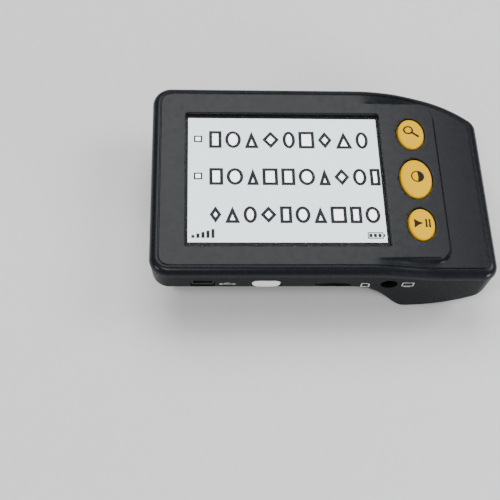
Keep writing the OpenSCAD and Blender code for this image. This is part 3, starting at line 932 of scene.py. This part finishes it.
def square(x, y, w, h):
    return np.array([(x + i * w / 2, y + j * h / 2) for i, j in ((-1, -1), (1, -1), (1, 1), (-1, 1))])


def shrink(loop, gap):
    """A convex outline moved inwards by a gap."""
    out = []
    for a, b, c in zip(np.roll(loop, 1, 0), loop, np.roll(loop, -1, 0)):
        u, v = (b - a) / np.linalg.norm(b - a), (c - b) / np.linalg.norm(c - b)
        n1, n2 = np.array([-u[1], u[0]]), np.array([-v[1], v[0]])
        out.append(b + gap * (n1 + n2) / (1 + n1 @ n2))
    return np.array(out)


def shape_outline(kind, x, y, w, h):
    if kind == "disc":
        a = np.linspace(0, 2 * math.pi, 40, endpoint=False)
        return np.column_stack([x + w / 2 * np.cos(a), y + h / 2 * np.sin(a)])
    if kind == "peak":
        return np.array([(x - w / 2, y - h / 2), (x + w / 2, y - h / 2), (x, y + h / 2)])
    if kind == "gem":
        return np.array([(x - w / 2, y), (x, y - h / 2), (x + w / 2, y), (x, y + h / 2)])
    return square(x, y, w, h)


MARK_LINE = 1.2
MARK_T = 0.012
MARKS = ("box", "disc", "peak", "gem", "disc", "box", "gem",
         "peak", "disc", "gem", "box", "disc", "peak", "box")
MARK_SHARES = (0.62, 0.78, 0.7, 0.84)
MARK_ROWS = ((20.4, 12.9), (4.2, -3.0), (-11.8, -18.7))
MARKS_LEFT = -40.1
BULLET_ROWS = ((18.6, 15.1), (2.4, -0.9))


def mark(loop, holes=(), spacing=2):
    return inlay(loop, holes, sheet_row(MARK_Z), 0, MARK_T, spacing)


def build_picture(lit, ink, paper, border_print, glass):
    w, h = PICTURE
    cx, cy = PICTURE_MID
    right = cx + w / 2
    finish_piece(slab(round_box(cx, cy, w, h, 0.05, 3), PICTURE_Z - 0.03, PICTURE_Z, 0.004, 1),
                 "display_picture", "housing", lit, "display_glass")
    outlines, fills = [], []
    pick = 0
    for top, bottom in MARK_ROWS:
        x = MARKS_LEFT
        row_h = top - bottom
        mid = (top + bottom) / 2
        while x < right - 1.5:
            kind = MARKS[pick % len(MARKS)]
            width = row_h * MARK_SHARES[pick % len(MARK_SHARES)]
            pick += 1
            if x + width > right - 0.3:
                width = right - 0.3 - x
                kind = "box"
                if width < 2:
                    break
            loop = shape_outline(kind, x + width / 2, mid, width, row_h)
            outlines.append(mark(loop, [shrink(loop, MARK_LINE)]))
            fills.append(mark(shrink(loop, MARK_LINE), spacing=3))
            x += width + row_h * 0.17
    for top, bottom in BULLET_ROWS:
        bullet = square(-44.1, (top + bottom) / 2, 3.1, 2.9)
        outlines.append(mark(bullet, [shrink(bullet, 0.6)], 3))
        fills.append(mark(shrink(bullet, 0.6), spacing=3))
    for k in range(5):
        step = 1.2 + 0.6 * k
        outlines.append(mark(square(-45.9 + 1.75 * k, step / 2 - 24.7, 1.15, step)))
    cell = square(18.3, -23.6, 5.6, 2.6)
    outlines.append(mark(cell, [shrink(cell, 0.35)]))
    outlines.append(mark(square(21.45, -23.6, 0.5, 1.2)))
    for k in range(3):
        outlines.append(mark(square(16.6 + 1.6 * k, -23.6, 1.1, 1.4)))
    finish_piece(merged(outlines), "display_marks", "housing", ink, "display_glass")
    finish_piece(merged(fills), "display_fills", "housing", paper, "display_glass")
    outer = round_box(SCREEN_X, MODULE_Y, 75.6, 60.6, 1.2, 3)
    inner = round_box(cx, cy, w, h, 0.15, 3)
    finish_piece(inlay(grow(outer, 0), [grow(inner, 0)], sheet_row(BORDER_Z), 0, 0.02, 3),
                 "window_border", "housing", border_print, "clear_window")
    size = WINDOW_HIGH - WINDOW_LOW
    pane = round_box(SCREEN_X, MODULE_Y, size[0], size[1], 1.0, 3)
    finish_piece(slab(pane, WINDOW_Z, WINDOW_HIGH[2], 0.08), "window_pane", "housing", glass,
                 "clear_window", ["screen_window"])


def build_front_signs(material):
    """Printed signs on the front edge: a plug, a memory card and a screen, all generic."""
    def lift(p, up):
        return np.column_stack([p[:, 0], FRONT + wall_inset(p[:, 0], p[:, 1]) - up, p[:, 1]])

    def ring(x, z, w, h, r, line):
        outer = round_box(x, z, w, h, r, 0.5)
        inner = round_box(x, z, w - 2 * line, h - 2 * line, max(r - line, 0.1), 0.5)
        return grow(outer, 0), [grow(inner, 0)]

    z = PORT_Z
    low, high = z - 2.7, z + 0.6
    card = np.array([(13.1, low), (16.2, low), (16.2, high - 0.9), (15.3, high), (13.1, high)])
    shapes = [
        (bar((-36.2, z), (-31.8, z), 0.17), []),
        (circle(-36.2, z, 0.5, 20), []),
        (bar((-35.2, z + 0.1), (-34.3, z + 0.95), 0.14), []),
        (bar((-34.4, z + 0.95), (-33.2, z + 0.95), 0.14), []),
        (np.array([(-31.9, z - 0.55), (-30.9, z), (-31.9, z + 0.55)]), []),
        (card, [shrink(card, 0.38)]),
        ring(29.6, z + 0.15, 4.2, 2.9, 0.4, 0.32),
        (bar((28.5, z - 1.75), (30.7, z - 1.75), 0.14), []),
    ]
    skins = [inlay(b, hs, lift, 0.025, 0.06) for b, hs in shapes]
    finish_piece(merged(skins), "front_signs", "housing", material, "button_white")


# ---------------------------------------------------------------- materials

BROAD = 17.0
STREAKS = 2.6
GLOW = 40.0
GRAIN_RISE = 0.04


def new_node(tree, kind, inputs=None, **settings):
    node = tree.nodes.new(kind)
    for name, value in settings.items():
        setattr(node, name, value)
    for name, value in (inputs or {}).items():
        if isinstance(value, bpy.types.NodeSocket):
            tree.links.new(value, node.inputs[name])
        else:
            node.inputs[name].default_value = value
    return node


def mixed(tree, factor, a, b):
    """Mix of two colours, each a value or a socket."""
    node = tree.nodes.new("ShaderNodeMix")
    node.data_type = "RGBA"
    slots = {s.identifier: s for s in node.inputs}
    for name, value in (("Factor_Float", factor), ("A_Color", a), ("B_Color", b)):
        if isinstance(value, bpy.types.NodeSocket):
            tree.links.new(value, slots[name])
        else:
            slots[name].default_value = value
    return next(s for s in node.outputs if s.identifier == "Result_Color")


def surface(name, base, rough, metal=0.0, grain=0.35, bump=0.12, vary=0.12, rough_vary=0.06, wear=0.25,
            edge=0.25, specular=0.5, coat=0.0, clear=False):
    """Procedural finish. grain and edge are in millimetres; vary and wear are shares of the base colour."""
    material = bpy.data.materials.new(name)
    material.use_nodes = True
    tree = material.node_tree
    shader = tree.nodes["Principled BSDF"]
    place = new_node(tree, "ShaderNodeTexCoord").outputs["Object"]

    def noise(size, detail, roughness):
        return new_node(tree, "ShaderNodeTexNoise", {
            "Vector": place, "Scale": 1 / (size * MM), "Detail": detail, "Roughness": roughness,
        }).outputs["Fac"]

    fine, broad, streaks = noise(grain, 3.0, 0.6), noise(BROAD, 4.0, 0.55), noise(STREAKS, 5.0, 0.7)
    low = [c * (1 - vary) for c in base] + [1]
    high = [min(1, c * (1 + vary)) for c in base] + [1]
    tinted = mixed(tree, broad, low, high)

    # Edges are found by how far the bevelled normal turns from the true one, and wear lighter in patches
    bevel = new_node(tree, "ShaderNodeBevel", {"Radius": edge * MM}, samples=6).outputs["Normal"]
    normal = new_node(tree, "ShaderNodeNewGeometry").outputs["Normal"]
    same = new_node(tree, "ShaderNodeVectorMath", operation="DOT_PRODUCT")
    tree.links.new(bevel, same.inputs[0])
    tree.links.new(normal, same.inputs[1])
    worn = new_node(tree, "ShaderNodeMapRange", {
        "Value": same.outputs["Value"], "From Min": 0.995, "From Max": 0.86, "To Min": 0.0, "To Max": wear})
    patchy = new_node(tree, "ShaderNodeMath", operation="MULTIPLY")
    tree.links.new(worn.outputs["Result"], patchy.inputs[0])
    tree.links.new(streaks, patchy.inputs[1])
    light = [min(1, c * 1.6 + 0.05) for c in base] + [1]
    tree.links.new(mixed(tree, patchy.outputs["Value"], tinted, light), shader.inputs["Base Color"])

    polish = new_node(tree, "ShaderNodeMapRange", {
        "Value": streaks, "From Min": 0.3, "From Max": 0.7,
        "To Min": max(0.02, rough - rough_vary), "To Max": min(1, rough + rough_vary)})
    tree.links.new(polish.outputs["Result"], shader.inputs["Roughness"])
    relief = new_node(tree, "ShaderNodeBump", {
        "Strength": bump, "Distance": GRAIN_RISE * MM, "Height": fine, "Normal": bevel})
    tree.links.new(relief.outputs["Normal"], shader.inputs["Normal"])
    shader.inputs["Metallic"].default_value = metal
    shader.inputs["Specular IOR Level"].default_value = specular
    shader.inputs["Coat Weight"].default_value = coat
    shader.inputs["Coat Roughness"].default_value = 0.12
    if clear:
        through = tree.nodes.new("ShaderNodeBsdfTransparent")
        rim = new_node(tree, "ShaderNodeFresnel", {"IOR": 1.16})
        pane = tree.nodes.new("ShaderNodeMixShader")
        tree.links.new(rim.outputs["Fac"], pane.inputs["Fac"])
        tree.links.new(through.outputs["BSDF"], pane.inputs[1])
        tree.links.new(shader.outputs["BSDF"], pane.inputs[2])
        tree.links.new(pane.outputs["Shader"], tree.nodes["Material Output"].inputs["Surface"])
    return material


def lit_surface(name, colour, strength, vary=0.05):
    """A glowing area of the display that varies slightly in brightness."""
    material = surface(name, [0.1 * c for c in colour], 0.5, bump=0.02, vary=vary, specular=0.1)
    tree = material.node_tree
    shader = tree.nodes["Principled BSDF"]
    place = new_node(tree, "ShaderNodeTexCoord").outputs["Object"]
    broad = new_node(tree, "ShaderNodeTexNoise", {"Vector": place, "Scale": 1 / (GLOW * MM), "Detail": 2.0})
    glow = mixed(tree, broad.outputs["Fac"], [c * (1 - vary) for c in colour] + [1], [*colour, 1])
    tree.links.new(glow, shader.inputs["Emission Color"])
    shader.inputs["Emission Strength"].default_value = strength
    return material


# Base colour, roughness and what differs from the usual finish
MOULDED = dict(bump=0.1, grain=0.3, vary=0.08, wear=0.1)
FINISHES = {
    "face_plastic": ((0.008, 0.0095, 0.0125), 0.27, dict(MOULDED, specular=0.2)),
    "shell_plastic": ((0.005, 0.0055, 0.0065), 0.3, dict(MOULDED, specular=0.045)),
    "clear_window": ((0.96, 0.98, 1.0), 0.04,
                     dict(bump=0.01, vary=0.01, rough_vary=0.02, wear=0.05, clear=True)),
    "foam": ((0.03, 0.03, 0.032), 0.95, dict(grain=0.5, bump=0.6)),
    "display_glass": ((0.16, 0.17, 0.18), 0.15, dict(bump=0.03)),
    "light_guide": ((0.8, 0.8, 0.78), 0.4, {}),
    "sheet_steel": ((0.13, 0.13, 0.14), 0.42, dict(metal=1.0, grain=0.15, bump=0.15)),
    "ribbon": ((0.5, 0.25, 0.06), 0.4, {}),
    "board": ((0.02, 0.13, 0.06), 0.35, dict(bump=0.3)),
    "chip": ((0.02, 0.02, 0.022), 0.55, {}),
    "socket_plastic": ((0.012, 0.012, 0.014), 0.45, {}),
    "key_yellow": ((0.95, 0.53, 0.0), 0.45,
                   dict(grain=0.4, bump=0.08, vary=0.03, wear=0.3, edge=0.3, specular=0.03)),
    "button_white": ((0.82, 0.82, 0.79), 0.35, dict(grain=0.4, bump=0.08, vary=0.03, wear=0.2)),
    "lens_black": ((0.015, 0.015, 0.016), 0.5, {}),
    "lens_glass": ((0.9, 0.93, 1.0), 0.03, dict(bump=0.01, wear=0.05, coat=0.5)),
    "lamp": ((0.9, 0.9, 0.8), 0.2, dict(bump=0.03)),
    "battery_wrap": ((0.05, 0.09, 0.16), 0.4, dict(bump=0.1)),
    "gold": ((0.83, 0.6, 0.22), 0.25, dict(metal=1.0, grain=0.2)),
    "screw_steel": ((0.4, 0.41, 0.43), 0.35, dict(metal=1.0, grain=0.15, bump=0.2)),
    "rubber": ((0.025, 0.025, 0.026), 0.8, dict(grain=0.4, bump=0.5)),
    "key_print": ((0.02, 0.011, 0.005), 0.5, dict(bump=0.05, vary=0.08, wear=0.1, specular=0.15)),
    "sign_print": ((0.62, 0.64, 0.66), 0.5, dict(bump=0.05, vary=0.08, wear=0.1)),
    "border_print": ((0.004, 0.005, 0.006), 0.4, dict(bump=0.02, vary=0.05, specular=0.1)),
    "screen_ink": ((0.012, 0.013, 0.02), 0.5, dict(bump=0.02, specular=0.1)),
}


def build_materials():
    made = {name: surface(name, base, rough, **more) for name, (base, rough, more) in FINISHES.items()}
    made["screen_lit"] = lit_surface("screen_lit", (0.86, 0.97, 1.0), 2.1)
    made["screen_paper"] = lit_surface("screen_paper", (0.98, 1.0, 1.0), 3.2)
    return made


BEVELLED = ("usb_port", "usb_tongue", "card_slot", "av_jack", "pod_ring", "belly_pads", "battery_pack",
            "camera_window", "screen_gasket", "lcd_frame")


def paint_cad(made):
    """Every CAD node takes its slot's finish, and the ones that can be seen a fine bevel."""
    slots = {part["node"]: part["material_slot"] for part in frame["record"]["subparts"]}
    for name, node in frame["nodes"].items():
        node.data.materials.clear()
        node.data.materials.append(made[slots[name]])
        if name in BEVELLED:
            edge = node.modifiers.new("edge", "BEVEL")
            edge.width, edge.segments, edge.angle_limit = 0.08 * MM, 2, math.radians(40)
            edge.limit_method = "ANGLE"


# ---------------------------------------------------------------- camera, floor and light

CAMERA_MM = (-44.27, -184.51, 319.99)
CAMERA_TURN = (27.988, -2.795, -1.427)
CAMERA_LENS = 68.89


def build_camera():
    data = bpy.data.cameras.new("camera")
    data.lens, data.sensor_width = CAMERA_LENS, 36
    data.clip_start, data.clip_end = 0.01, 10
    camera = bpy.data.objects.new("camera", data)
    camera.location = Vector(CAMERA_MM) * MM
    camera.rotation_euler = [math.radians(a) for a in CAMERA_TURN]
    bpy.context.scene.collection.objects.link(camera)
    bpy.context.scene.camera = camera


def build_floor():
    skin = Skin()
    half, start, rise, top, steps = 2500, 700, 900, 2600, 12
    edge = skin.row([(x, -half, 0) for x in (-half, half)])
    rows = [edge, skin.row([(x, start, 0) for x in (-half, half)])]
    for k in range(1, steps + 1):
        a = math.pi / 2 * k / steps
        y, z = start + rise * math.sin(a), rise * (1 - math.cos(a))
        rows.append(skin.row([(x, y, z) for x in (-half, half)]))
    rows.append(skin.row([(x, start + rise, top) for x in (-half, half)]))
    skin.bands(rows, closed=False)
    floor = loose_object(skin, "floor")
    floor.data.polygons.foreach_set("use_smooth", [True] * len(floor.data.polygons))
    floor.data.materials.append(surface("floor_card", (0.86, 0.86, 0.86), 0.9, grain=1.0, bump=0.05,
                                        vary=0.015, wear=0, specular=0.1))


def area_light(name, place_mm, target_mm, size_mm, power, colour=(1, 1, 1)):
    data = bpy.data.lights.new(name, "AREA")
    data.shape = "RECTANGLE"
    data.size, data.size_y = (s * MM for s in size_mm)
    data.energy, data.color = power, colour
    light = bpy.data.objects.new(name, data)
    place, target = Vector(place_mm) * MM, Vector(target_mm) * MM
    light.location = place
    light.rotation_euler = (target - place).to_track_quat("-Z", "Y").to_euler()
    bpy.context.scene.collection.objects.link(light)


def build_lights():
    area_light("softbox_back", (-95, 430, 800), (0, 0, 20), (760, 560), 6.5)
    area_light("key_light", (-190, -280, 660), (-30, 0, 20), (300, 60), 1.4)
    area_light("corner_light", (-560, -280, 240), (-50, -30, 20), (120, 120), 0.9)
    area_light("side_light", (620, 120, 640), (20, 0, 10), (360, 360), 3.0)
    area_light("belly_light", (330, -330, 110), (45, -30, 12), (160, 120), 1.1)
    world = bpy.data.worlds.new("studio")
    world.use_nodes = True
    back = world.node_tree.nodes["Background"]
    back.inputs["Color"].default_value = (0.93, 0.96, 1.0, 1)
    back.inputs["Strength"].default_value = 0.24
    bpy.context.scene.world = world


# ---------------------------------------------------------------- the whole scene

made = build_materials()
paint_cad(made)
build_front_cover(made["face_plastic"])
build_rear_cover(made["shell_plastic"])
build_door(made["shell_plastic"])
for key in KEYS:
    build_key(key, made["key_yellow"])
build_symbols(made["key_print"])
build_power_button(made["button_white"])
build_picture(made["screen_lit"], made["screen_ink"], made["screen_paper"], made["border_print"],
              made["clear_window"])
build_front_signs(made["sign_print"])
build_camera()
build_floor()
build_lights()
